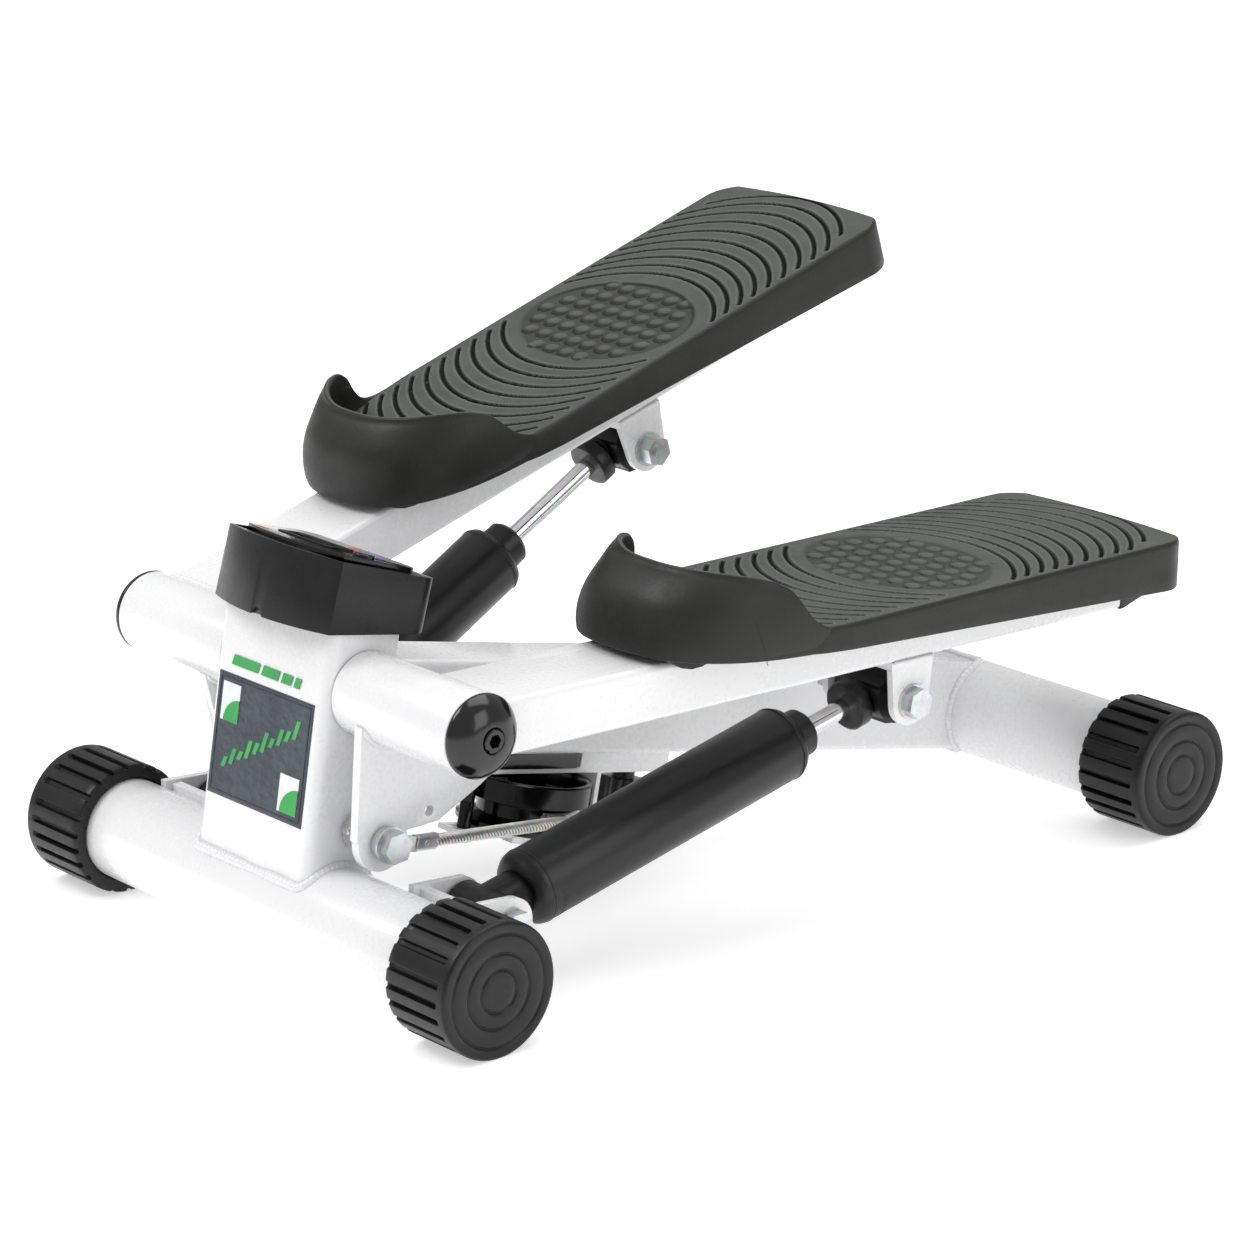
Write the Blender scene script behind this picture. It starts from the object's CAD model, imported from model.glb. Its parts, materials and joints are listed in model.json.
# A stepper exerciser: two pedal arms on a shared axle, damper cylinders under them, and a steel
# cable round a pulley that links the arms. The machine stands on z = 0 with its front towards
# -Y and its left side towards +X. Shapes are given in millimetres; build() turns them into metres.
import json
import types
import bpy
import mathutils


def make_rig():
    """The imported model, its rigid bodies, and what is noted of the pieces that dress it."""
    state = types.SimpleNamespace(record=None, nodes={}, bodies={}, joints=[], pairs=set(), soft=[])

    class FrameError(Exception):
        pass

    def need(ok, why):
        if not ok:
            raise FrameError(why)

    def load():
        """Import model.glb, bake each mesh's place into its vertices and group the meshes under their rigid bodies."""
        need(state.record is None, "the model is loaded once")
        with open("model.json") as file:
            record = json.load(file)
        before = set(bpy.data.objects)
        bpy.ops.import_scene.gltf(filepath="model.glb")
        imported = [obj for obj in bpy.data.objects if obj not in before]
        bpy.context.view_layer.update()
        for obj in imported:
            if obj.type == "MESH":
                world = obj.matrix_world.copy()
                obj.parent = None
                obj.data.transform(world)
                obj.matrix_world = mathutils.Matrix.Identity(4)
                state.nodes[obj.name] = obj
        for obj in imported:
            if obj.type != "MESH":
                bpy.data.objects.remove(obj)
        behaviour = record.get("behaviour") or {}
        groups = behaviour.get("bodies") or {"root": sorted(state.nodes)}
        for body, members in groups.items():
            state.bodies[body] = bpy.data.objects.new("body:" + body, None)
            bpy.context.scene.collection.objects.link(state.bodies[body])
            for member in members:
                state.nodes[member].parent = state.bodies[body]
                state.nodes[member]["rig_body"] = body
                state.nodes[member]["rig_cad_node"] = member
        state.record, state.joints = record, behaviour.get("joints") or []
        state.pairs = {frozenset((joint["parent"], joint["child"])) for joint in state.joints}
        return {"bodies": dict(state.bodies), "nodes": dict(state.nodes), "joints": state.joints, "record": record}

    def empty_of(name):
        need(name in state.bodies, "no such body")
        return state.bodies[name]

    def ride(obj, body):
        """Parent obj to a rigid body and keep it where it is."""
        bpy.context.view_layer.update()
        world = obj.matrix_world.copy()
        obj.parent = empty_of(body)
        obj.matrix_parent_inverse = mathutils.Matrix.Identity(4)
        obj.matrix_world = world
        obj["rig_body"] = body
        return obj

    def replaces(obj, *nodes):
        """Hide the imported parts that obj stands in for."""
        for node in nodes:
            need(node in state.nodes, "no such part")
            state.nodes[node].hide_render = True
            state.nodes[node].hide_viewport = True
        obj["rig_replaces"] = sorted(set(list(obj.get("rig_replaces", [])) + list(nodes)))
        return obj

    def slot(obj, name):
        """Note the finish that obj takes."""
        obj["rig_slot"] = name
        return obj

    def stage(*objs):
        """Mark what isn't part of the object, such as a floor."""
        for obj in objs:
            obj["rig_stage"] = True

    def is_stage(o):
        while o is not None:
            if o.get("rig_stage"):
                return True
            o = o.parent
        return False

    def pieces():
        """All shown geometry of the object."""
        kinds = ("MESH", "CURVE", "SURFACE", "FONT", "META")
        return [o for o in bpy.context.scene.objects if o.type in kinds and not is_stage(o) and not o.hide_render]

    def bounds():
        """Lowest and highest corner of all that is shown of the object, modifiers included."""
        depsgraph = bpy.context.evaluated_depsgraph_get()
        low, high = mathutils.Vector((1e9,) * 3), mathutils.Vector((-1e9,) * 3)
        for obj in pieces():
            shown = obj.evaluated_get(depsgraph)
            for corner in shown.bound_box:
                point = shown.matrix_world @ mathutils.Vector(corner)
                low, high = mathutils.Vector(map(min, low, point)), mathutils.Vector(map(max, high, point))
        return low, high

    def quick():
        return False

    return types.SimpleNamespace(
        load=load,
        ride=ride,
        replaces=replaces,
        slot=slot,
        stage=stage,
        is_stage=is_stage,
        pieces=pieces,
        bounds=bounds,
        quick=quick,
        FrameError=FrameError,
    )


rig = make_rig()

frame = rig.load()
SIZE_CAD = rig.bounds()

import bpy
import bmesh
import json
import math
import numpy as np
from mathutils import Vector, Matrix

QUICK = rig.quick()
MM = 0.001

# ---------------------------------------------------------- shared dimensions
SIDES = ("left", "right")
SIGN = {"left": 1.0, "right": -1.0}
ARM_TILT = {"left": math.radians(-1.67), "right": math.radians(16.53)}
CYLINDER_TILT = {"left": math.radians(12.27), "right": math.radians(29.6)}
POST_TILT = math.radians(-9.36)
BEAM_TILT = math.radians(-12.1)
CONSOLE_TILT = math.radians(-18.5)

# origins in the YZ plane
AXLE = (-194.8, 132.0)
POST_FOOT = (-210.2, 47.5)
PULLEY = (-71.15, 39.5)
CONSOLE = (-207.2, 194.0)

ARM_X = 92.5  # centre line of an arm, from the middle of the machine
CROSS_TUBE_Y = 214.0  # the front tube lies at -y, the rear one at +y
CROSS_TUBE_Z = 30.6
POST_HALF_DEPTH = 20.0


# ------------------------------------------------------------------ materials
MATERIALS = {}


class Graph:
    """Node tree of one Principled material. Values may be constants or output sockets."""

    def __init__(self, name):
        self.mat = bpy.data.materials.new(name)
        self.mat.use_nodes = True
        self.tree = self.mat.node_tree
        self.tree.nodes.clear()
        output = self.tree.nodes.new("ShaderNodeOutputMaterial")
        self.shader = self.tree.nodes.new("ShaderNodeBsdfPrincipled")
        self.tree.links.new(self.shader.outputs[0], output.inputs[0])
        self.coords = self.node("TexCoord", {}).outputs["Object"]

    def plug(self, node, inputs):
        for key, value in inputs.items():
            socket = node.inputs[key]
            if hasattr(value, "is_output"):
                self.tree.links.new(value, socket)
            elif socket.type == "RGBA":
                socket.default_value = (*value, 1.0)
            else:
                socket.default_value = value

    def node(self, kind, inputs, **settings):
        node = self.tree.nodes.new("ShaderNode" + kind)
        for key, value in settings.items():
            setattr(node, key, value)
        self.plug(node, inputs)
        return node

    def surface(self, inputs):
        self.plug(self.shader, inputs)

    def stretched(self, x, y, z):
        return self.node("Mapping", {"Scale": (x, y, z), "Vector": self.coords}).outputs[0]

    def noise(self, scale, detail=3.0, rough=0.5, vector=None):
        return self.node("TexNoise", {
            "Scale": scale, "Detail": detail, "Roughness": rough,
            "Vector": vector or self.coords}).outputs["Fac"]

    def cells(self, scale, feature="F1", output="Distance"):
        inputs = {"Scale": scale, "Vector": self.coords}
        return self.node("TexVoronoi", inputs, feature=feature).outputs[output]

    def remap(self, value, low, high, start=0.0, end=1.0):
        """Map start..end onto low..high."""
        return self.node("MapRange", {
            "From Min": start, "From Max": end, "To Min": low, "To Max": high,
            "Value": value}).outputs["Result"]

    def add(self, first, second):
        return self.node("Math", {0: first, 1: second}, operation="ADD").outputs[0]

    def multiply(self, first, second):
        return self.node("Math", {0: first, 1: second}, operation="MULTIPLY").outputs[0]

    def mix(self, share, first, second):
        # on a Mix node inputs 6 and 7 and output 2 are the colour sockets
        return self.node("Mix", {0: share, 6: first, 7: second}, data_type="RGBA").outputs[2]

    def bump(self, height, strength, distance, under=None):
        """Distance in metres; under is the normal this relief lies on."""
        inputs = {"Strength": strength, "Distance": distance, "Height": height}
        if under is not None:
            inputs["Normal"] = under
        return self.node("Bump", inputs).outputs[0]

    def patches(self, noise, low, high, start=0.3, end=0.7):
        """Two tones blended by a noise."""
        return self.mix(self.remap(noise, 0.0, 1.0, start=start, end=end), low, high)

    def speckle(self, color, scale, start, end, amount, tint):
        """Small round specks of another colour."""
        specks = self.remap(self.cells(scale), 1.0, 0.0, start=start, end=end)
        return self.mix(self.multiply(specks, amount), color, tint)


def product_graph(key):
    graph = Graph("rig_" + key)
    MATERIALS[key] = graph.mat
    return graph


def plastic(key, low, high, rough, grain, relief,
            blotch=35.0, coat=0.0, spec=0.5, dust=0.0, wear=1.0):
    """Moulded plastic: two-tone blotches, fine grain and scuffs. Relief in metres."""
    graph = product_graph(key)
    color = graph.patches(graph.noise(blotch, detail=4.0, rough=0.6), low, high)
    if dust:
        color = graph.speckle(color, scale=260.0, start=0.02, end=0.09, amount=dust,
                              tint=(0.30, 0.30, 0.28))
    fine = graph.noise(grain, rough=0.6)
    scuff = graph.noise(90.0, detail=5.0, rough=0.7, vector=graph.stretched(1.0, 0.25, 1.0))
    roughness = graph.add(
        graph.remap(fine, low=rough - 0.05 * wear, high=rough + 0.05 * wear),
        graph.remap(scuff, low=-0.05 * wear, high=0.09 * wear, start=0.35, end=0.75))
    pores = graph.bump(graph.cells(grain * 0.55, "SMOOTH_F1"), strength=0.35, distance=relief)
    graph.surface({
        "Base Color": color,
        "Roughness": roughness,
        "Specular IOR Level": spec,
        "Coat Weight": coat,
        "Coat Roughness": 0.12,
        "Normal": graph.bump(fine, strength=0.45, distance=relief * 0.7, under=pores),
    })


def metal(key, low, high, rough, streak, grain, scratch):
    """Plated or brushed metal with streaks along one direction and fine spangle."""
    graph = product_graph(key)
    spangle = graph.cells(420.0, output="Color")
    broad = graph.noise(60.0, detail=4.0, rough=0.6)
    color = graph.mix(0.12, graph.patches(broad, low, high), spangle)
    lines = graph.noise(grain, detail=2.0, vector=graph.stretched(*streak))
    roughness = graph.add(graph.remap(lines, low=rough - 0.05, high=rough + 0.09),
                          graph.remap(broad, low=-0.03, high=0.07))
    fine = graph.bump(graph.noise(1500.0, detail=2.0), strength=0.2, distance=0.00002)
    graph.surface({
        "Base Color": color,
        "Metallic": 1.0,
        "Roughness": roughness,
        "Normal": graph.bump(lines, strength=scratch, distance=0.00002, under=fine),
    })


def white_paint():
    """Powder coat: faint orange peel, slightly warmer and duller patches."""
    graph = product_graph("white_paint")
    broad = graph.noise(14.0, detail=4.0, rough=0.55)
    color = graph.patches(broad, low=(0.785, 0.787, 0.797), high=(0.803, 0.804, 0.812),
                          start=0.32, end=0.68)
    color = graph.speckle(color, scale=150.0, start=0.012, end=0.03, amount=0.35,
                          tint=(0.55, 0.54, 0.52))
    peel = graph.noise(420.0, detail=2.0, rough=0.45)
    roughness = graph.add(graph.remap(peel, low=0.24, high=0.29),
                          graph.remap(broad, low=-0.02, high=0.04))
    waves = graph.bump(peel, strength=0.008, distance=0.00005)
    graph.surface({
        "Base Color": color,
        "Roughness": roughness,
        "Coat Weight": 0.35,
        "Coat Roughness": 0.08,
        "Normal": graph.bump(graph.noise(1800.0, detail=2.0), strength=0.02, distance=0.00001,
                             under=waves),
    })


def pedal_plastic():
    """Grained moulding that is paler and drier on the faces that point up."""
    graph = product_graph("pedal_plastic")
    broad = graph.noise(24.0, detail=4.0, rough=0.6)
    side_color = graph.patches(broad, low=(0.0115, 0.0115, 0.0108), high=(0.0185, 0.0185, 0.0172))
    top_color = graph.patches(broad, low=(0.066, 0.070, 0.060), high=(0.082, 0.087, 0.075))
    normal = graph.node("NewGeometry", {}).outputs["Normal"]
    height = graph.node("SeparateXYZ", {0: normal}).outputs["Z"]
    upward = graph.remap(height, 0.0, 1.0, start=0.86, end=0.95)
    mottle = graph.noise(70.0, detail=5.0, rough=0.65)
    worn = graph.multiply(upward, graph.remap(mottle, low=0.78, high=1.0, start=0.3, end=0.6))
    color = graph.mix(worn, side_color, top_color)
    # masks painted on the tread: rubbed lips and dark groove floors
    lip = graph.node("Attribute", {}, attribute_name="groove_edge").outputs["Fac"]
    color = graph.mix(graph.multiply(lip, 0.55), color, (0.125, 0.132, 0.115))
    sunk = graph.node("Attribute", {}, attribute_name="groove_floor").outputs["Fac"]
    color = graph.mix(graph.multiply(sunk, 0.86), color, (0.0035, 0.0035, 0.003))
    color = graph.speckle(color, scale=240.0, start=0.02, end=0.06, amount=0.14,
                          tint=(0.30, 0.30, 0.28))
    fine = graph.noise(1000.0, rough=0.65)
    scuff = graph.noise(80.0, detail=5.0, rough=0.7, vector=graph.stretched(1.0, 0.3, 1.0))
    roughness = graph.add(graph.remap(fine, low=0.38, high=0.52),
                          graph.remap(scuff, low=-0.04, high=0.08, start=0.35, end=0.75))
    roughness = graph.add(roughness, graph.multiply(upward, 0.10))
    specular = graph.remap(sunk, low=0.30, high=0.05)
    pores = graph.bump(graph.cells(620.0, "SMOOTH_F1"), strength=0.45, distance=0.00010)
    graph.surface({
        "Base Color": color,
        "Roughness": roughness,
        "Specular IOR Level": specular,
        "Normal": graph.bump(fine, strength=0.5, distance=0.00008, under=pores),
    })


def display_window():
    graph = product_graph("display_window")
    color = graph.mix(graph.noise(80.0), (0.02, 0.024, 0.022), (0.035, 0.04, 0.036))
    roughness = graph.remap(graph.noise(300.0), low=0.04, high=0.14)
    graph.surface({
        "Base Color": color,
        "Roughness": roughness,
        "Normal": graph.bump(graph.noise(900.0, detail=2.0), strength=0.05, distance=0.00002),
        "Coat Weight": 0.6,
    })


def weld_paint():
    graph = product_graph("weld_paint")
    broad = graph.noise(120.0, detail=4.0, rough=0.6)
    color = graph.mix(broad, (0.75, 0.75, 0.765), (0.80, 0.80, 0.81))
    roughness = graph.remap(broad, low=0.22, high=0.40)
    graph.surface({
        "Base Color": color,
        "Roughness": roughness,
        "Coat Weight": 0.3,
        "Normal": graph.bump(graph.noise(700.0, rough=0.6), strength=0.25, distance=0.00018),
    })


white_paint()
plastic("black_rubber", low=(0.0030, 0.0029, 0.0028), high=(0.0075, 0.0072, 0.0070),
        rough=0.37, grain=1500.0, relief=0.00006, spec=0.34, dust=0.08)
plastic("black_plastic", low=(0.0033, 0.0033, 0.0031), high=(0.0080, 0.0078, 0.0075),
        rough=0.30, grain=1900.0, relief=0.00004, coat=0.03, spec=0.34, dust=0.05)
plastic("gloss_black", low=(0.0015, 0.0015, 0.0015), high=(0.004, 0.004, 0.004),
        rough=0.15, grain=1300.0, relief=0.00001, coat=0.20, spec=0.40, dust=0.02, wear=0.4)
plastic("cap_black", low=(0.002, 0.002, 0.002), high=(0.005, 0.005, 0.0048),
        rough=0.17, grain=1500.0, relief=0.00001, coat=0.25, spec=0.45, dust=0.02, wear=0.3)
plastic("pulley_black", low=(0.0008, 0.0008, 0.0008), high=(0.0025, 0.0025, 0.0025),
        rough=0.18, grain=1200.0, relief=0.00002, coat=0.10, spec=0.30, dust=0.03)
plastic("cable_shadow", low=(0.002, 0.002, 0.002), high=(0.008, 0.007, 0.006),
        rough=0.6, grain=1500.0, relief=0.00002, spec=0.1)
pedal_plastic()
plastic("cylinder_paint", low=(0.0010, 0.0010, 0.0010), high=(0.0022, 0.0022, 0.0021),
        rough=0.37, grain=1000.0, relief=0.000008, spec=0.46, dust=0.02, wear=0.3)
plastic("rod_end_plastic", low=(0.0018, 0.0018, 0.0018), high=(0.005, 0.005, 0.005),
        rough=0.33, grain=1600.0, relief=0.00004, coat=0.03, spec=0.36)
plastic("bush_plastic", low=(0.40, 0.39, 0.35), high=(0.52, 0.51, 0.46),
        rough=0.42, grain=1500.0, relief=0.00004)
metal("chrome_rod", low=(0.72, 0.72, 0.73), high=(0.83, 0.83, 0.84),
      rough=0.10, streak=(1.0, 0.08, 0.08), grain=1400.0, scratch=0.18)
metal("cable_wire", low=(0.55, 0.54, 0.50), high=(0.80, 0.79, 0.74),
      rough=0.30, streak=(1.0, 1.0, 1.0), grain=1600.0, scratch=0.5)
metal("zinc_steel", low=(0.50, 0.52, 0.54), high=(0.70, 0.72, 0.73),
      rough=0.27, streak=(0.15, 1.0, 1.0), grain=900.0, scratch=0.4)
plastic("display_grey", low=(0.085, 0.10, 0.085), high=(0.13, 0.15, 0.125),
        rough=0.30, grain=1500.0, relief=0.00002)
plastic("board_green", low=(0.01, 0.10, 0.035), high=(0.02, 0.15, 0.05),
        rough=0.45, grain=900.0, relief=0.00006)
plastic("label_print", low=(0.020, 0.027, 0.040), high=(0.045, 0.055, 0.075),
        rough=0.42, grain=700.0, relief=0.00012, blotch=60.0)
plastic("label_edge", low=(0.008, 0.010, 0.018), high=(0.014, 0.017, 0.028),
        rough=0.35, grain=1200.0, relief=0.00003)
# printed colours: (name, dark tone, pale tone, roughness)
for color_name, dark, pale, print_rough in (
    ("green", (0.015, 0.30, 0.055), (0.03, 0.40, 0.08), 0.40),
    ("white", (0.72, 0.73, 0.74), (0.84, 0.85, 0.86), 0.40),
    ("red", (0.62, 0.035, 0.02), (0.75, 0.07, 0.03), 0.35),
    ("violet", (0.25, 0.13, 0.46), (0.34, 0.20, 0.58), 0.35),
    ("orange", (0.70, 0.25, 0.06), (0.80, 0.33, 0.10), 0.35),
):
    plastic("print_" + color_name, low=dark, high=pale, rough=print_rough, grain=1200.0,
            relief=0.00003)
display_window()
weld_paint()


# ------------------------------------------------------------------- builders
# A mesh is passed about as (points, faces).
def build(name, mesh, material, body, slot=None, smooth=35.0):
    """Make an object that rides on a body; the slot is the material's name unless given."""
    points, faces = mesh
    data = bpy.data.meshes.new(name)
    data.from_pydata((np.asarray(points, float) * MM).tolist(), [], faces)
    data.update()
    bm = bmesh.new()
    bm.from_mesh(data)
    bmesh.ops.recalc_face_normals(bm, faces=bm.faces)
    bm.to_mesh(data)
    bm.free()
    ob = bpy.data.objects.new(name, data)
    bpy.context.scene.collection.objects.link(ob)
    data.materials.append(MATERIALS[material])
    data.polygons.foreach_set("use_smooth", [True] * len(data.polygons))
    if smooth:
        data.set_sharp_from_angle(angle=math.radians(smooth))
    data.update()
    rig.ride(ob, body)
    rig.slot(ob, slot or material)
    return ob


def unit(vectors):
    vectors = np.asarray(vectors, float)
    return vectors / np.linalg.norm(vectors, axis=-1, keepdims=True)


def full_turn(count):
    return np.linspace(0, 2 * np.pi, count, endpoint=False)


def grid_faces(rows, columns, wrap_rows=False, wrap_columns=False):
    row, column = np.meshgrid(np.arange(rows if wrap_rows else rows - 1),
                              np.arange(columns if wrap_columns else columns - 1), indexing="ij")
    next_row, next_column = (row + 1) % rows, (column + 1) % columns
    corners = [row * columns + column, next_row * columns + column,
               next_row * columns + next_column, row * columns + next_column]
    return np.stack(corners, -1).reshape(-1, 4).tolist()


def capped(rings):
    """Skin closed rings (ring, point, xyz) and close both ends."""
    rings = np.asarray(rings)
    count, around = rings.shape[:2]
    faces = grid_faces(count, around, wrap_columns=True)
    last = (count - 1) * around
    faces.append(list(range(around))[::-1])
    faces.append(list(range(last, last + around)))
    return rings.reshape(-1, 3), faces


def lathe(profile, origin, axis, sides):
    """Closed ring surface from (along, radius) points round an axis."""
    axis = unit(axis)
    across = unit(np.cross(axis, [1.0, 0, 0] if abs(axis[0]) < 0.8 else [0, 1.0, 0]))
    angle = full_turn(sides)[:, None]
    spokes = np.cos(angle) * across + np.sin(angle) * np.cross(axis, across)
    profile = np.asarray(profile, float)
    points = (np.asarray(origin, float) + profile[:, None, 0:1] * axis
              + profile[:, None, 1:2] * spokes)
    faces = grid_faces(len(profile), sides, wrap_rows=True, wrap_columns=True)
    return points.reshape(-1, 3), faces


def distances(points):
    """Distance travelled along a polyline at each of its points."""
    steps = np.linalg.norm(np.diff(points, axis=0), axis=1)
    return np.concatenate([[0], np.cumsum(steps)])


def resample(points, stations):
    reached = distances(points)
    return np.stack([np.interp(stations, reached, column) for column in points.T], 1)


def path_axes(points):
    """Two unit vectors square to an open path, carried along it without twist."""
    tangent = unit(np.gradient(points, axis=0))
    across = np.zeros_like(points)
    helper = [0, 0, 1.0] if abs(tangent[0][2]) < 0.9 else [1.0, 0, 0]
    across[0] = unit(np.cross(tangent[0], helper))
    for i in range(1, len(points)):
        across[i] = unit(across[i - 1] - tangent[i] * (across[i - 1] @ tangent[i]))
    return across, np.cross(tangent, across)


def swept(points, radius, sides, across, square):
    """Rings round a path; the radius may vary from point to point."""
    radius = np.broadcast_to(radius, (len(points),))[:, None, None]
    angle = full_turn(sides)[:, None]
    spokes = np.cos(angle) * across[:, None] + np.sin(angle) * square[:, None]
    return points[:, None] + radius * spokes


def tube(points, radius, sides):
    return capped(swept(points, radius, sides, *path_axes(points)))


def joined(meshes):
    points, faces, base = [], [], 0
    for part_points, part_faces in meshes:
        points.append(part_points)
        faces += [[i + base for i in face] for face in part_faces]
        base += len(part_points)
    return np.concatenate(points), faces


def rounded_box(centre, axes, size, radius=0.4):
    """Box with rounded edges along three unit axes."""
    bm = bmesh.new()
    bmesh.ops.create_cube(bm, size=1.0)
    for vert in bm.verts:
        vert.co = [value * length for value, length in zip(vert.co, size)]
    bmesh.ops.bevel(bm, geom=list(bm.edges), offset=min(radius, 0.45 * min(size)), segments=2,
                    profile=0.6, affect="EDGES")
    bm.verts.ensure_lookup_table()
    local = np.array([vert.co[:] for vert in bm.verts])
    faces = [[vert.index for vert in face.verts] for face in bm.faces]
    bm.free()
    return centre + local @ np.stack(axes), faces


def rounded_rect(half_x, half_y, radius):
    """Dense counter-clockwise outline of a rounded rectangle."""
    inner_x, inner_y = half_x - radius, half_y - radius
    corners = ((inner_x, inner_y, 0), (-inner_x, inner_y, 90),
               (-inner_x, -inner_y, 180), (inner_x, -inner_y, 270))
    outline = []
    for corner_x, corner_y, first in corners:
        for k in range(11):
            angle = math.radians(first + 90.0 * k / 10)
            outline.append((corner_x + radius * math.cos(angle),
                            corner_y + radius * math.sin(angle)))
    outline = np.array(outline + outline[:1])
    return resample(outline, np.arange(0, distances(outline)[-1], 1.5))


def perimeter(rows, columns):
    """Row and column numbers of a grid's border, in order round it."""
    border = [(0, j) for j in range(columns)]
    border += [(i, columns - 1) for i in range(1, rows)]
    border += [(rows - 1, j) for j in range(columns - 2, -1, -1)]
    border += [(i, 0) for i in range(rows - 2, 0, -1)]
    return np.array(border).T


def ellipse(centre, first, second, count):
    """Ring of points whose last repeats the first, from two half-axis vectors."""
    angle = np.linspace(0, 2 * math.pi, count)[:, None]
    return centre + np.cos(angle) * first + np.sin(angle) * second


# ------------------------------------------------------------- tilted systems
def tilt_axes(angle):
    """Unit vectors along and square to a direction in the YZ plane."""
    cos, sin = math.cos(angle), math.sin(angle)
    return np.array([0, cos, sin]), np.array([0, -sin, cos])


def tilted_point(x, along, up, origin, angle):
    x, along, up = np.broadcast_arrays(x, along, up)
    cos, sin = math.cos(angle), math.sin(angle)
    return np.stack([x, origin[0] + along * cos - up * sin,
                     origin[1] + along * sin + up * cos], -1)


def arm_point(side, along, x, up):
    """Along the arm from the axle, across it from its centre line, and up from the axle."""
    return tilted_point(SIGN[side] * ARM_X + x, along, up, AXLE, ARM_TILT[side])


def post_point(x, rearward, up):
    return tilted_point(x, rearward, up, POST_FOOT, POST_TILT)


def pulley_point(x, rearward, up):
    return tilted_point(x, rearward, up, PULLEY, BEAM_TILT)


def console_point(x, rearward, up):
    return tilted_point(x, rearward, up, CONSOLE, CONSOLE_TILT)


def lever_bolt(side, x):
    """Point at x on the axis of the bolt through a lever plate."""
    point = arm_point(side, -6.3, 0, -62.2)
    point[0] = x
    return point


X_AXIS = np.array([1.0, 0, 0])

# --------------------------------------------------------------------- pedals
TREAD_BREAK = 400.0  # the top and bottom lines bend here
TREAD_REAR = 414.0
TREAD_CORNER = 16.0
TREAD_EDGE = 2.5  # radius of the rounded top edge
TREAD_NOSE = 98.7

# grooves are arcs: (radius, +1 centred behind or -1 ahead, half width, crossings of x = 0)
GROOVE_ARCS = (
    (66.6, 1, 52, (227, 217, 207, 196.5, 186.5, 176.5, 166, 156, 146, 136, 126)),
    (67.0, -1, 54, (323, 332, 341.5, 351, 361, 371.5, 382, 392.5, 402.5, 411.5)),
)
LAST_GROOVE_FROM = 410  # the groove beyond this is narrower and has no round ends
LAST_GROOVE_HALF_WIDTH = 49
DOME_ROWS = (242.0, 252.2, 262.4, 272.6, 282.8, 293.0, 303.2)
DOME_PITCH = 10.8
DOME_RADIUS = 4.3
FIELD_MIDDLE = 274

CUP_PLUS_BACK = 176.0
CUP_MINUS_BACK = 191.7
CUP_MINUS_POWER = 2.75
# tread nose inside the cup, on the +x and -x sides
PLUS_NOSE = dict(back=CUP_PLUS_BACK, width=55.8, power=2.6, root=0.385,
                 blend_start=168.0, blend_length=8.0)
MINUS_NOSE = dict(back=CUP_MINUS_BACK, width=55.4, power=CUP_MINUS_POWER,
                  root=1 / CUP_MINUS_POWER, blend_start=158.0, blend_length=14.0)


def top_line(along):
    return np.where(along <= TREAD_BREAK, 24.3 + (along - 170) * (3.7 / 230),
                    28.0 - (along - TREAD_BREAK) * 0.4 / 13.5)


def bottom_line(along):
    return np.where(along < TREAD_BREAK, 12.7 + (along - 170) * (-8.9 / 230),
                    3.8 - (along - TREAD_BREAK) * 0.4 / 13.5)


def groove_depth(along, x):
    """How far the tread surface sinks."""
    beside = np.abs(x)
    to_line = np.full(along.shape, 9.0)
    to_end = np.full(along.shape, 9.0)
    for radius, bow, half_width, crossings in GROOVE_ARCS:
        for crossing in crossings:
            last = crossing >= LAST_GROOVE_FROM
            reach = LAST_GROOVE_HALF_WIDTH if last else half_width
            centre = crossing + bow * radius
            inside = (bow * (centre - along) > 0) & (beside < reach)
            off_arc = np.abs(np.hypot(centre - along, x) - radius)
            to_line = np.where(inside, np.minimum(to_line, off_arc), to_line)
            if not last:
                end = centre - bow * math.sqrt(radius * radius - half_width * half_width)
                to_end = np.minimum(to_end, np.hypot(along - end, beside - half_width))
    half_groove, shoulder = 0.85, 0.35
    line = 1.6 * np.clip((half_groove + shoulder - to_line) / 0.7, 0, 1) ** 0.8
    return np.maximum(line, 1.5 * np.clip((1.35 - to_end) / 0.7, 0, 1) ** 0.8)


def smooth_step(share):
    return share * share * (3 - 2 * share)


def dome_field(along, x):
    """Shallow oval field (0..1) and the staggered domes that stand in it (0..1)."""
    oval_radius = np.sqrt(((along - FIELD_MIDDLE) / 37.0) ** 2 + (x / 50.0) ** 2)
    field = smooth_step(np.clip((1.03 - oval_radius) / 0.06, 0, 1))
    dome = np.zeros(along.shape)
    for k, row in enumerate(DOME_ROWS):
        shift = 0.0 if k % 2 else DOME_PITCH / 2
        centre = np.round((x - shift) / DOME_PITCH) * DOME_PITCH + shift
        inside = ((row - FIELD_MIDDLE) / 34.5) ** 2 + (centre / 46.5) ** 2 < 1.06
        radius = np.hypot(along - row, (x - centre) * 0.92)
        bulge = np.sqrt(np.clip(1 - (radius / DOME_RADIUS) ** 2, 0, 1))
        dome = np.where(inside, np.maximum(dome, bulge), dome)
    return field, dome


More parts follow.
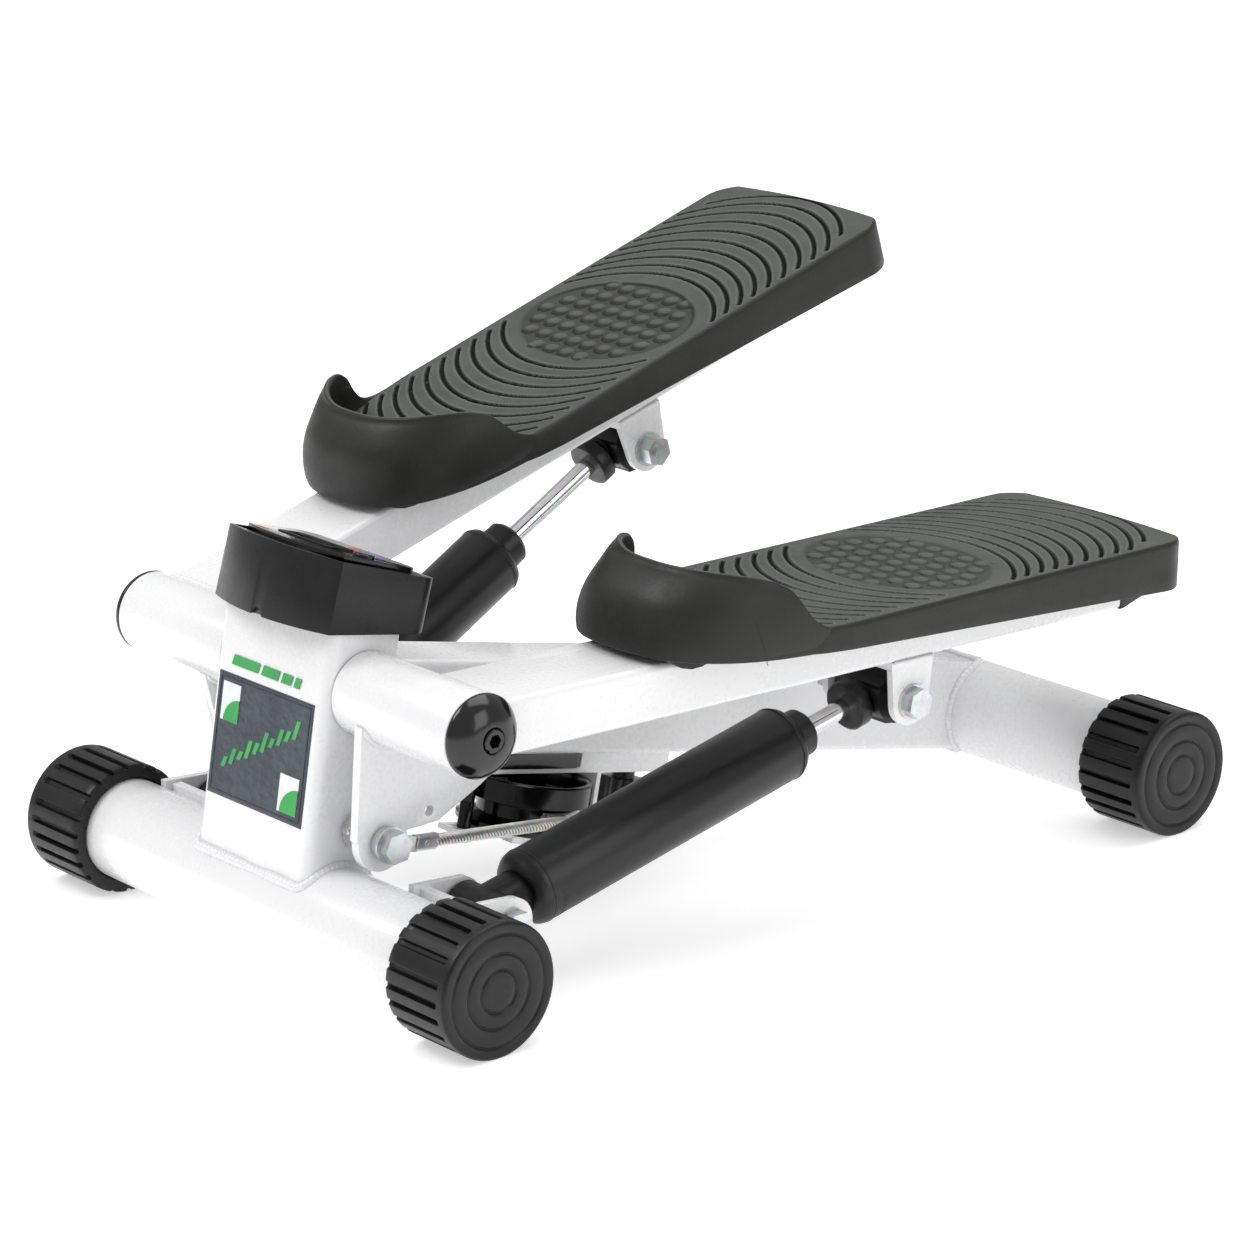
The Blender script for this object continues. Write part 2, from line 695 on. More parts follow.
def tread_half_width(along, back, width, power, root, blend_start, blend_length):
    """One side of the tread's plan outline: inside the cup at the nose, a skirt behind it."""
    front = 98.5
    ahead = np.clip((back - along) / (back - front), 0, 1)
    nose = width * np.clip(1 - ahead ** power, 0, 1) ** root
    share = smooth_step(np.clip((along - blend_start) / blend_length, 0, 1))
    skirt = 57.2 + 1.3 * np.clip((along - 174) / 16.0, 0, 1)
    half = nose * (1 - share) + skirt * share
    corner_start = TREAD_REAR - TREAD_CORNER
    past = np.clip(along - corner_start, 0, TREAD_CORNER)
    inset = np.sqrt(np.clip(TREAD_CORNER ** 2 - past * past, 0, None))
    return np.where(along > corner_start, half - TREAD_CORNER + inset, half)


def tread_stations(step):
    """Rows from nose to rear, crowded at the two ends where the outline turns."""
    nose, dense_end = TREAD_NOSE + TREAD_EDGE, 105
    front = nose + (dense_end - nose) * (np.linspace(0, 1, 13)[:-1] ** 2)
    count = int((TREAD_BREAK - dense_end) / step)
    middle = np.linspace(dense_end, TREAD_BREAK, count)[:-1]
    quarter_turn = np.linspace(0, math.pi / 2, 14 if QUICK else 30)
    rear_length = TREAD_REAR - TREAD_EDGE - TREAD_BREAK
    return np.concatenate([front, middle, TREAD_BREAK + rear_length * np.sin(quarter_turn)])


def outline_normals(along, x):
    """Outward normals of a closed plan outline, smoothed twice."""
    step_along = np.roll(along, -1) - np.roll(along, 1)
    step_x = np.roll(x, -1) - np.roll(x, 1)
    length = np.hypot(step_along, step_x)
    normals = np.stack([-step_x / length, step_along / length])
    normals *= np.sign(np.sum(normals[1] * x + normals[0] * (along - 270)))
    for _ in range(2):
        normals = (np.roll(normals, 1, 1) + normals * 2 + np.roll(normals, -1, 1)) / 4
    return normals


def paint_tread_masks(tread, groove, field, dome):
    """Groove floors and the rubbed lips beside them, as point attributes."""
    floor = np.clip((groove - 0.25) / 0.9, 0, 1)
    wide = groove
    for _ in range(1 if QUICK else 3):
        pad = np.pad(wide, 1, mode="edge")
        wide = np.maximum.reduce([pad[1:-1, 1:-1], pad[:-2, 1:-1], pad[2:, 1:-1],
                                  pad[1:-1, :-2], pad[1:-1, 2:]])
    edge = np.clip(wide / 1.2, 0, 1) * (1 - floor)
    floor = np.maximum(floor, 0.42 * field * np.clip(1 - dome / 0.75, 0, 1))
    edge = np.maximum(edge, 0.35 * np.clip((dome - 0.75) / 0.25, 0, 1))
    for key, mask in (("groove_floor", floor), ("groove_edge", edge)):
        values = np.zeros(len(tread.data.vertices), dtype=np.float32)
        values[:mask.size] = mask.reshape(-1)
        attribute = tread.data.attributes.new(key, "FLOAT", "POINT")
        attribute.data.foreach_set("value", values)


def make_tread(side):
    step = 1.6 if QUICK else 0.55
    stations = tread_stations(step)
    plus = tread_half_width(stations, **PLUS_NOSE) - TREAD_EDGE
    minus = tread_half_width(stations, **MINUS_NOSE) - TREAD_EDGE
    plus[0], minus[0] = max(plus[0], 6.0), max(minus[0], 6.0)
    rows, columns = len(stations), int(114 / step) | 1
    along = np.repeat(stations[:, None], columns, 1)
    x = -minus[:, None] + (plus + minus)[:, None] * np.linspace(0, 1, columns)[None]
    rear_bow = 2.6 * np.clip((stations - 330) / 84.0, 0, 1) ** 2
    bowed = along + rear_bow[:, None] * (1 - (x / 45.0) ** 2)
    groove = groove_depth(along, x)
    field, dome = dome_field(along, x)
    surface = top_line(along) + (1.05 * dome - 0.6 * field - groove)
    points = [arm_point(side, bowed, x, surface).reshape(-1, 3)]
    faces = grid_faces(rows, columns)

    # rim: rings that run down from the border, under the skirt and up inside it
    row, column = perimeter(rows, columns)
    rim_along, rim_x = bowed[row, column], x[row, column]
    top = top_line(along[row, column])
    normal_along, normal_x = outline_normals(rim_along, rim_x)
    bottom = bottom_line(rim_along)
    gate = np.clip((26.6 - np.abs(rim_x)) / 1.0, 0, 1) * (rim_along > 380)
    bottom = bottom * (1 - gate) + 12.35 * gate  # higher where the arm passes at the rear
    edge = TREAD_EDGE
    turns = [math.pi / 2 * k / 5 for k in (1, 2, 3, 4, 5)]
    rings = [(edge * math.sin(turn), top - edge * (1 - math.cos(turn))) for turn in turns]
    rings += [(edge + 0.15 * f, (top - edge) * (1 - f) + (bottom + 0.7) * f)
              for f in (0.25, 0.5, 0.75)]
    rings += [(edge + 0.15, bottom + 0.7), (edge - 0.1, bottom + 0.2), (edge - 0.6, bottom),
              (edge - 2.0, bottom), (edge - 2.5, bottom + 0.6), (edge - 2.7, top - 4.2),
              (edge - 3.6, top - 3.2)]
    previous = row * columns + column
    base, count = rows * columns, len(row)
    following = np.roll(np.arange(count), -1)
    for outset, height in rings:
        points.append(arm_point(side, rim_along + normal_along * outset,
                                rim_x + normal_x * outset, height))
        ring = np.arange(base, base + count)
        faces += np.stack([previous, previous[following], ring[following], ring], 1).tolist()
        previous, base = ring, base + count

    # ceiling: join the last ring's two sides row by row
    last = previous.tolist()
    front = last[:columns]
    right = last[columns - 1:columns - 1 + rows]
    rear = last[columns + rows - 2:2 * columns + rows - 2][::-1]
    left = [front[0]] + last[2 * columns + rows - 2:][::-1] + [rear[0]]
    faces.append(front + [right[1], left[1]])
    for i in range(1, rows - 2):
        faces.append([left[i], right[i], right[i + 1], left[i + 1]])
    faces.append([left[rows - 2], right[rows - 2]] + rear[::-1])
    tread = build(f"{side}_pedal_tread", (np.concatenate(points), faces), "pedal_plastic",
                  f"{side}_arm", smooth=38)
    paint_tread_masks(tread, groove, field, dome)
    return tread


# toe cup rim: height over the angle round the cup, from the +x end (0) to the -x end (180)
RIM_ANGLES = (0, 4, 8, 12, 20, 28, 36, 44, 52, 60, 68, 76, 84, 92, 100, 108, 116, 124, 132, 140,
              148, 152, 156, 160, 164, 168, 172, 180)
RIM_HEIGHTS = (24.6, 30.0, 38.5, 44.8, 49.0, 50.9, 52.0, 52.7, 53.1, 53.4, 53.6, 53.6, 53.6, 53.7,
               53.9, 54.3, 54.6, 54.6, 54.4, 53.6, 52.0, 50.0, 46.5, 40.5, 32.6, 26.0, 24.2, 24.0)
# toe cup outer face: height, foremost station, half width on +x, half width on -x
CUP_HEIGHT, CUP_FRONT, CUP_PLUS, CUP_MINUS = np.array([
    (12.0, 98.4, 52.0, 51.5), (14.0, 96.8, 54.6, 53.8), (17.0, 96.0, 56.4, 55.6),
    (21.0, 96.3, 57.3, 56.8), (26.0, 97.4, 57.7, 57.2), (32.0, 99.2, 57.7, 56.0),
    (37.0, 101.0, 57.3, 53.6), (42.0, 103.8, 56.1, 50.8), (47.0, 108.2, 54.1, 49.2),
    (52.0, 114.2, 51.4, 48.4), (58.0, 127.5, 46.5, 47.6),
]).T
CUP_WALL = 3.4


def smooth_interp(x, knots, values):
    """Natural cubic through the points."""
    count = len(knots)
    gap = np.diff(knots)
    matrix = np.zeros((count, count))
    target = np.zeros(count)
    matrix[0, 0] = matrix[-1, -1] = 1
    for i in range(1, count - 1):
        matrix[i, i - 1:i + 2] = gap[i - 1], 2 * (gap[i - 1] + gap[i]), gap[i]
        target[i] = 6 * ((values[i + 1] - values[i]) / gap[i]
                         - (values[i] - values[i - 1]) / gap[i - 1])
    curve = np.linalg.solve(matrix, target)
    x = np.clip(x, knots[0], knots[-1])
    k = np.clip(np.searchsorted(knots, x, "right") - 1, 0, count - 2)
    after = x - knots[k]
    before = knots[k + 1] - x
    return ((curve[k] * before ** 3 + curve[k + 1] * after ** 3) / (6 * gap[k])
            + (values[k] / gap[k] - curve[k] * gap[k] / 6) * before
            + (values[k + 1] / gap[k] - curve[k + 1] * gap[k] / 6) * after)


def cup_plan(angle, height):
    """Station along the arm and x on the cup's outer face; angle 0 points to +x."""
    front = smooth_interp(height, CUP_HEIGHT, CUP_FRONT)
    plus = smooth_interp(height, CUP_HEIGHT, CUP_PLUS)
    minus = smooth_interp(height, CUP_HEIGHT, CUP_MINUS)
    cos, sin = np.cos(angle), np.abs(np.sin(angle))
    plus_power, minus_power = 0.77, 2 / CUP_MINUS_POWER
    x = np.where(cos >= 0, plus * np.abs(cos) ** plus_power, -minus * np.abs(cos) ** minus_power)
    along = np.where(cos >= 0, CUP_PLUS_BACK - (CUP_PLUS_BACK - front) * sin ** plus_power,
                     CUP_MINUS_BACK - (CUP_MINUS_BACK - front) * sin ** minus_power)
    return along, x


def make_cup(side):
    count = 121 if QUICK else 241
    spread = np.linspace(-1, 1, count)
    angle = math.pi / 2 * (1 - np.sign(spread) * (1 - (1 - np.abs(spread)) ** 1.5))
    angle = np.clip(angle, 1e-4, math.pi - 1e-4)
    rim = np.interp(np.degrees(angle), RIM_ANGLES, RIM_HEIGHTS)
    for _ in range(4 if QUICK else 14):
        rim[1:-1] = (rim[:-2] + 2 * rim[1:-1] + rim[2:]) / 4
    level_plan, _ = cup_plan(angle, np.full(count, 14.0))
    bottom = 12.7 + (170.0 - np.minimum(level_plan, 176.0)) * 0.0387
    foot, top = bottom + 1.6, rim - 1.2  # ends of the plain wall
    upper_wall = CUP_WALL - 0.5
    wall_steps = 26

    # rows of (height the plan is taken at, inset from the outer face, height)
    rows = [(foot, CUP_WALL, bottom + 0.8), (foot, 2.6, bottom + 0.1)]
    for k in range(6):
        turn = math.pi / 2 * k / 6
        rows.append((foot, 1.5 * (1 - math.sin(turn)), bottom + 1.6 * (1 - math.cos(turn))))
    for j in range(wall_steps + 1):
        share = j / wall_steps
        height = foot * (1 - share) + top * share
        rows.append((height, 0.0, height))
    for k in range(1, 8):
        turn = math.pi * k / 8
        rows.append((top, upper_wall / 2 * (1 - math.cos(turn)), top + 1.3 * math.sin(turn)))
    for j in range(wall_steps):
        share = j / wall_steps
        height = top * (1 - share) + (bottom + 0.8) * share
        inset = upper_wall + 0.5 * min(1.0, share * 3)
        rows.append((np.maximum(height, foot), inset, height))

    points = []
    for plan_height, inset, height in rows:
        along, x = cup_plan(angle, plan_height)
        slope_along, slope_x = np.gradient(along), np.gradient(x)
        length = np.hypot(slope_along, slope_x)
        normal_along, normal_x = slope_x / length, -slope_along / length
        inset = inset * np.sign(np.sum(normal_x * x + normal_along * (along - 160)))
        points.append(arm_point(side, along - normal_along * inset, x - normal_x * inset, height))
    faces = grid_faces(len(rows), count, wrap_rows=True)
    faces.append([i * count for i in range(len(rows))][::-1])
    faces.append([i * count + count - 1 for i in range(len(rows))])
    build(f"{side}_toe_cup", (np.concatenate(points), faces), "pedal_plastic", f"{side}_arm",
          smooth=50)


# lip under the toe cup: (along the arm, up)
LIP_PROFILE = ((103.5, 16.5), (107, 13.4), (113, 10.2), (119, 8.7), (125, 8.9), (132, 10.8),
               (140, 13.6), (146, 16.5))


def make_pedal_ribs(side):
    axes = (X_AXIS, *tilt_axes(ARM_TILT[side]))

    def rib(along, x, low, high, width, length, radius=0.4):
        centre = arm_point(side, along, x, (low + high) / 2)
        parts.append(rounded_box(centre, axes, (width, length, high - low), radius))

    def ceiling(along):
        return float(top_line(along)) - 2.6

    parts = []
    for sign in (-1, 1):
        # channel wall beside the arm, in six overlapping lengths that follow the skirt
        for k in range(6):
            length = 48 + 0.4
            middle = 122 + k * 48 + length / 2
            low = float(bottom_line(max(middle, 150))) + 1.5
            rib(middle, sign * 26.7, low, ceiling(middle), 2.2, length, 0.5)
        # lip that hugs the arm under the toe cup
        along, up = np.array(LIP_PROFILE).T
        parts.append(capped([arm_point(side, along, x, up)
                             for x in sorted((sign * 25.4, sign * 29.6))]))
    for along in np.arange(188, 404, 21.5):
        for sign in (-1, 1):
            low = float(bottom_line(along)) + 2.6
            rib(along, sign * 41.6, low, ceiling(along), 28.6, 1.8)
    # a long rib on each side, then bosses on the centre line
    for sign in (-1, 1):
        rib(294, sign * 42, 13.2, 23.2, 1.8, 226)
    for along in (205.0, 330.0):
        high = float(top_line(along)) - 2.4
        profile = [(12.4, 3.3), (12.4, 6.3), (12.8, 6.8), (high - 1.0, 7.2), (high, 7.4),
                   (high, 3.3)]
        parts.append(lathe(profile, arm_point(side, along, 0, 0), axes[2], 40))
    build(f"{side}_pedal_ribs", joined(parts), "pedal_plastic", f"{side}_arm")


def make_mould_line():
    """Fine parting line up the left cup's outer flank."""
    share = np.linspace(0, 1, 30)
    height = 10.5 + (33.0 - 10.5) * share
    along, x = cup_plan(0.30 + 0.16 * share, height)
    build("left_cup_mould_line", tube(arm_point("left", along, x, height), 0.16, 6),
          "pedal_plastic", "left_arm")


for side in SIDES:
    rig.replaces(make_tread(side), f"{side}_pedal")
    make_cup(side)
    make_pedal_ribs(side)
make_mould_line()


# ---------------------------------------------------------------- weld beads
def weld_bead(points, radius, pitch, seed, closed):
    """A rippled bead laid along a polyline."""
    if closed:
        points = np.vstack([points, points[:1]])
    length = distances(points)[-1]
    count = max(8, int(length / 0.45))
    along = np.linspace(0, length, count + (0 if closed else 1), endpoint=not closed)
    path = resample(points, along)
    rng = np.random.default_rng(seed)

    def drift(knots):
        return np.interp(along, np.linspace(0, length, knots), rng.normal(size=knots))

    phase = along / pitch + 0.12 * drift(24)
    ripple = 1.0 - 0.256 * np.abs((phase % 1.0) - 0.25)
    bead = radius * ripple * (1.0 + 0.08 * drift(18))
    sides = 12
    if closed:
        # a fixed helper direction brings the rings round again without a twist
        tangent = unit(np.roll(path, -1, 0) - np.roll(path, 1, 0))
        across = unit(np.cross(tangent, [0.31, 0.55, 0.77]))
        rings = swept(path, bead, sides, across, np.cross(tangent, across))
        faces = grid_faces(len(path), sides, wrap_rows=True, wrap_columns=True)
        return rings.reshape(-1, 3), faces
    to_end = np.minimum(along, length - along)
    return tube(path, bead * np.sqrt(np.clip(to_end / (radius * 1.2), 0.03, 1.0)), sides)


def lay_weld(name, body, points, radius, pitch, seed, closed=False):
    build(name, weld_bead(points, radius, pitch, seed, closed), "weld_paint", body, "white_paint",
          smooth=0)


def on_cylinder(points, direction, axis_y, radius, far=False):
    """Where lines through the points meet a cross tube; misses clamp to the closest approach."""
    gap_y, gap_z = points[:, 1] - axis_y, points[:, 2] - CROSS_TUBE_Z
    square = direction[1] ** 2 + direction[2] ** 2
    linear = gap_y * direction[1] + gap_z * direction[2]
    constant = gap_y * gap_y + gap_z * gap_z - radius * radius
    root = np.sqrt(np.clip(linear * linear - square * constant, 0, None))
    travel = (-linear + root if far else -linear - root) / square
    return points + travel[:, None] * direction


def frame_welds():
    post_rear, post_up = tilt_axes(POST_TILT)
    outline = rounded_rect(40.4, 20.4, 5.0)
    path = on_cylinder(post_point(outline[:, 0], outline[:, 1], 0), post_up, -CROSS_TUBE_Y, 24.2,
                       far=True)
    lay_weld("post_base_weld", "frame", path, radius=2.5, pitch=2.7, seed=3, closed=True)
    # the beam's section, thrown onto the post's rear face and onto the rear tube
    beam_rear, beam_up = tilt_axes(BEAM_TILT)
    outline = rounded_rect(20.2, 22.7, 3.5)
    section = np.array([0, 35.85, 69.8]) + outline[:, 0:1] * X_AXIS + outline[:, 1:2] * beam_up
    travel = (post_point(0, POST_HALF_DEPTH, 0) - section) @ post_rear / (beam_rear @ post_rear)
    lay_weld("beam_front_weld", "frame", section + travel[:, None] * beam_rear, radius=2.0,
             pitch=2.4, seed=4, closed=True)
    lay_weld("beam_rear_weld", "frame", on_cylinder(section, beam_rear, CROSS_TUBE_Y, 24.1),
             radius=2.3, pitch=2.6, seed=5, closed=True)


def arm_weld(side):
    """Ring where the arm tube meets its sleeve."""
    def on_sleeve(up):
        return np.sqrt(np.clip(19.1 ** 2 - up * up, 0, None))

    across = np.linspace(-24.6, 24.6, 40)
    down = np.linspace(11.6, -13.2, 24)
    ring = np.vstack([
        arm_point(side, on_sleeve(12.2), across, 12.2),
        arm_point(side, on_sleeve(down), 25.1, down),
        arm_point(side, on_sleeve(13.6), across[::-1], -13.6),
        arm_point(side, on_sleeve(down[::-1]), -25.1, down[::-1]),
    ])
    ring[:, 0] = np.clip(ring[:, 0], -116.6, 116.6)  # clear of the axle's end caps
    lay_weld(f"{side}_arm_weld", f"{side}_arm", ring, radius=1.9, pitch=2.3, seed=6, closed=True)


def bracket_welds(side):
    """Lever plates on the sleeve, upper bracket on the arm, lower bracket on the front tube."""
    lever_x = SIGN[side] * (59.5 - ARM_X)
    angle = np.linspace(math.radians(205), math.radians(318), 60)
    for k, offset in enumerate((-2.6, 2.6)):
        path = arm_point(side, 19.3 * np.cos(angle), lever_x + offset, 19.3 * np.sin(angle))
        lay_weld(f"{side}_lever_weld_{k}", f"{side}_arm", path, radius=1.6, pitch=2.0, seed=8 + k)
    for k, offset in enumerate((-24.5, 24.5)):
        path = arm_point(side, np.linspace(250, 276, 30), offset, -13.6)
        lay_weld(f"{side}_upper_bracket_weld_{k}", f"{side}_arm", path, radius=1.2, pitch=1.9,
                 seed=11 + k)
    angle = np.linspace(math.radians(-16), math.radians(40), 30)
    for k, offset in enumerate((-19.6, -15.2, 15.2, 19.6)):
        path = np.stack([np.full(30, SIGN[side] * ARM_X + offset),
                         -CROSS_TUBE_Y + 24.2 * np.cos(angle),
                         CROSS_TUBE_Z + 24.2 * np.sin(angle)], 1)
        lay_weld(f"{side}_lower_bracket_weld_{k}", "frame", path, radius=1.3, pitch=1.9,
                 seed=15 + k)


frame_welds()
for side in SIDES:
    arm_weld(side)
    bracket_welds(side)


# ------------------------------------------------------- braided steel cables
STRANDS = 6
LAY_RADIUS = 2.45
WIRE_RADIUS = 0.60
LAY_LENGTH = 15.0
CABLE_STEP = 0.7 * (2.2 if QUICK else 1.0)
CORE_RADIUS = 2.3
WRAP_RADIUS = 24.1
RUN_RADIUS = 28.4  # circle round the pulley that the straight runs are tangent to


def build_cable(name, path, body):
    """Wires twisted round a path, and a dark core inside them."""
    length = distances(path)[-1]
    along = np.linspace(0, length, int(length / CABLE_STEP) + 2)
    middle = resample(path, along)
    across, square = path_axes(middle)
    wires = []
    for k in range(STRANDS):
        angle = (2 * math.pi * (along / LAY_LENGTH + k / STRANDS))[:, None]
        offset = LAY_RADIUS * (np.cos(angle) * across + np.sin(angle) * square)
        wires.append(tube(middle + offset, WIRE_RADIUS, 7))
    build(f"{name}_strands", joined(wires), "cable_wire", body, "zinc_steel", smooth=0)
    build(f"{name}_core", tube(path, CORE_RADIUS, 16), "cable_shadow", body, "zinc_steel",
          smooth=50)


def cable_run(side):
    """Straight run from the lever bolt to the pulley, with its ferrule's marks."""
    sign = SIGN[side]
    bolt = lever_bolt(side, sign * 64.5)
    rearward = (bolt - pulley_point(0, 0, 0)) @ tilt_axes(BEAM_TILT)[0]
    sideways = abs(bolt[0])
    tangent = (math.atan2(rearward, sideways)
               + math.acos(RUN_RADIUS / math.hypot(sideways, rearward)))
    target = pulley_point(sign * RUN_RADIUS * math.cos(tangent),
                          RUN_RADIUS * math.sin(tangent), 0)
    start = bolt + unit([0, target[1] - bolt[1], target[2] - bolt[2]]) * 15.0
    run = target - start
    along = unit(run)
    length = np.linalg.norm(run) + (-6.0 if side == "left" else 12.0)
    path = start + np.linspace(16.0, length - 0.3, 60)[:, None] * along
    build_cable(f"{side}_cable", path, f"{side}_cable_run")

    # a ring dimple on each flat of the ferrule and a bead round each of its ends
    wide = unit(np.cross(along, X_AXIS))
    thin = np.cross(along, wide)
    parts = []
    for face in (-1, 1):
        centre = start + along * 8.0 + thin * face * 2.28
        parts.append(tube(ellipse(centre, along * 1.25, wide * 1.25, 26), 0.28, 8))
    angle = np.linspace(0, 2 * math.pi, 41)[:, None]
    cos, sin = np.cos(angle), np.sin(angle)
    outline = (wide * 3.5 * np.sign(cos) * np.abs(cos) ** 0.7
               + thin * 2.0 * np.sign(sin) * np.abs(sin) ** 0.7)
    for station in (0.6, 16.2):
        parts.append(tube(start + along * station + outline, 0.5, 8))
    build(f"{side}_ferrule_marks", joined(parts), "zinc_steel", f"{side}_cable_run", smooth=0)


def cable_wrap():
    """Half turn round the rear of the pulley, with a short straight at each end."""
    straight = np.linspace(-7.6, 0, 9)
    angle = np.linspace(0, math.pi, 80)
    path = np.vstack([
        pulley_point(WRAP_RADIUS, straight[:-1], 0),
        pulley_point(WRAP_RADIUS * np.cos(angle), WRAP_RADIUS * np.sin(angle), 0),
        pulley_point(-WRAP_RADIUS, straight[::-1][1:], 0),
    ])
    build_cable("cable_wrap", path, "frame")


def guard_bolt_sleeve():
    """Dark sleeve over the guard bolt, between the bracket's two strips."""
    profile = [(-9.7, 2.6), (-9.7, 3.0), (-9.3, 3.3), (3.0, 3.35), (3.4, 3.2), (3.8, 3.35),
               (17.9, 3.3), (18.3, 3.0), (18.3, 2.6)]
    mesh = lathe(profile, pulley_point(0, -34.8, 0), tilt_axes(BEAM_TILT)[1], 40)
    build("guard_bolt_sleeve", mesh, "pulley_black", "frame", "black_plastic")


for side in SIDES:
    cable_run(side)
cable_wrap()
guard_bolt_sleeve()

# ------------------------------------------------- lock nuts on the lever bolts
# (distance from the middle of the machine, radius)
WASHER_PROFILE = ((48.8, 4.2), (48.8, 7.3), (48.5, 7.6), (47.5, 7.6), (47.2, 7.3), (47.2, 4.2))
# (distance from the middle, largest radius): chamfered hexagon, then the rounded thread end
NUT_STATIONS = ((47.2, 7.7), (46.8, 8.2), (46.2, 9.0), (43.6, 9.0), (43.0, 8.2), (42.6, 7.7),
                (42.6, 4.9), (42.9, 4.2), (41.6, 3.7), (41.3, 3.2))
NUT_HALF_FLATS = 7.4


def lock_nut(side):
    axis = lever_bolt(side, 0)
    sign = SIGN[side]
    washer = lathe(WASHER_PROFILE, axis, [sign, 0, 0], 48)
    angle = full_turn(96)
    hexagon = NUT_HALF_FLATS / np.cos((angle + 0.35) % (math.pi / 3) - math.pi / 6)
    rings = []
    for x, largest in NUT_STATIONS:
        radius = np.minimum(hexagon, largest)
        rings.append(np.stack([np.full(96, sign * x), axis[1] + radius * np.cos(angle),
                               axis[2] + radius * np.sin(angle)], 1))
    build(f"{side}_lock_nut", joined([washer, capped(rings)]), "zinc_steel", f"{side}_arm",
          smooth=28)


for side in SIDES:
    lock_nut(side)

# ----------------------------------------------------------------------- feet
# angles of the 22 lengthwise grooves, in degrees from +y towards +z
FOOT_GROOVES = {
    "front_left_foot": (80, 97, 112.6, 128, 142.8, 164, 180, 195, 212, 228, 244, 260, 276, 292,
                        308, 324, 340, 356, 12, 28.5, 45.5, 62.5),
    "front_right_foot": (91.2, 107.6, 122.6, 138, 158, 173.4, 188, 202.6, 218.5, 235, 251.5, 268,
                         284, 300, 316, 332, 348, 4, 20, 36, 55, 73.5),
    "rear_left_foot": (76, 97.5, 114, 130, 147, 163, 180, 197.5, 212, 228, 244, 260, 276, 292,
                       308, 324, 340, 356, 12, 28, 44, 60),
    "rear_right_foot": (84, 100, 116, 132, 148, 164, 180, 196, 213, 229, 245, 262, 278, 294, 310,
                        327, 343, 0, 17, 34, 51, 67.5),
}
FOOT_RADIUS = 31.0
FOOT_LENGTH = 40.0
FOOT_INNER_X = 114.8
FOOT_EDGE = 1.8
FOOT_GROOVE_DEPTH = 2.5


def ring_groove(radius):
    """Round groove in the foot's face, from its outer lip to its inner lip."""
    width, depth = 0.75, 0.7
    half = ((width + 0.35, 0), (width + 0.1, 0.1), (width * 0.55, depth * 0.75),
            (width * 0.2, depth))
    return ([(FOOT_LENGTH - sink, radius + offset, 0) for offset, sink in half]
            + [(FOOT_LENGTH - sink, radius - offset, 0) for offset, sink in half[::-1]])


def foot_stations():
    """(Distance from the inner end, radius, share of the groove depth), from inside to face."""
    full = FOOT_RADIUS
    stations = [(29.2, 2.0, 0), (29.2, 12.0, 0), (29.2, 23.0, 0), (28.4, 24.15, 0),
                (2.0, 24.15, 0), (0.6, 24.5, 0), (0.0, 25.2, 0),
                (0.0, 28.6, 0), (0.25, 29.8, 0.25), (0.9, 30.7, 0.7), (1.8, full, 1.0)]
    stations += [(along, full, 1.0) for along in np.linspace(5, 32.2, 8)]
    stations += [(33.2, full, 0.97), (33.9, full, 0.75), (34.4, full, 0.4), (34.8, full, 0.12),
                 (35.2, full, 0.0), (FOOT_LENGTH - FOOT_EDGE, full, 0)]
    for k in range(1, 6):
        turn = math.pi / 2 * k / 5
        stations.append((FOOT_LENGTH - FOOT_EDGE * (1 - math.sin(turn)),
                         full - FOOT_EDGE * (1 - math.cos(turn)), 0))
    stations += [(FOOT_LENGTH, 28.4, 0)]
    stations += ring_groove(25.4) + [(FOOT_LENGTH, 21.0, 0)]
    stations += ring_groove(16.9) + [(FOOT_LENGTH, 13.2, 0)] + ring_groove(9.6)
    return stations + [(FOOT_LENGTH, 5.0, 0), (FOOT_LENGTH, 1.2, 0)]


def foot(name, sign, axis_y):
    """Ribbed end cap with ring grooves on its face, flattened where it stands."""
    angle = full_turn(360 if QUICK else 720)
    grooves = np.array(FOOT_GROOVES[name])
    apart = np.abs((np.degrees(angle)[:, None] - grooves[None] + 180.0) % 360.0 - 180.0)
    sink = smooth_step(np.clip((3.1 - np.min(apart, 1)) / 1.1, 0, 1))
    along, radius, share = np.array(foot_stations()).T[:, :, None]
    radius = radius - FOOT_GROOVE_DEPTH * share * sink[None]
    x = sign * (FOOT_INNER_X + along) * np.ones((1, len(angle)))
    y = axis_y + radius * np.cos(angle)[None]
    z = np.maximum(CROSS_TUBE_Z + radius * np.sin(angle)[None], 0.0)
    cap = build(name + "_cap", capped(np.stack([x, y, z], -1)), "black_rubber", "frame",
                smooth=32)
    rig.replaces(cap, name)


for end, tube_y in (("front", -CROSS_TUBE_Y), ("rear", CROSS_TUBE_Y)):
    for side in SIDES:
        foot(f"{end}_{side}_foot", SIGN[side], tube_y)


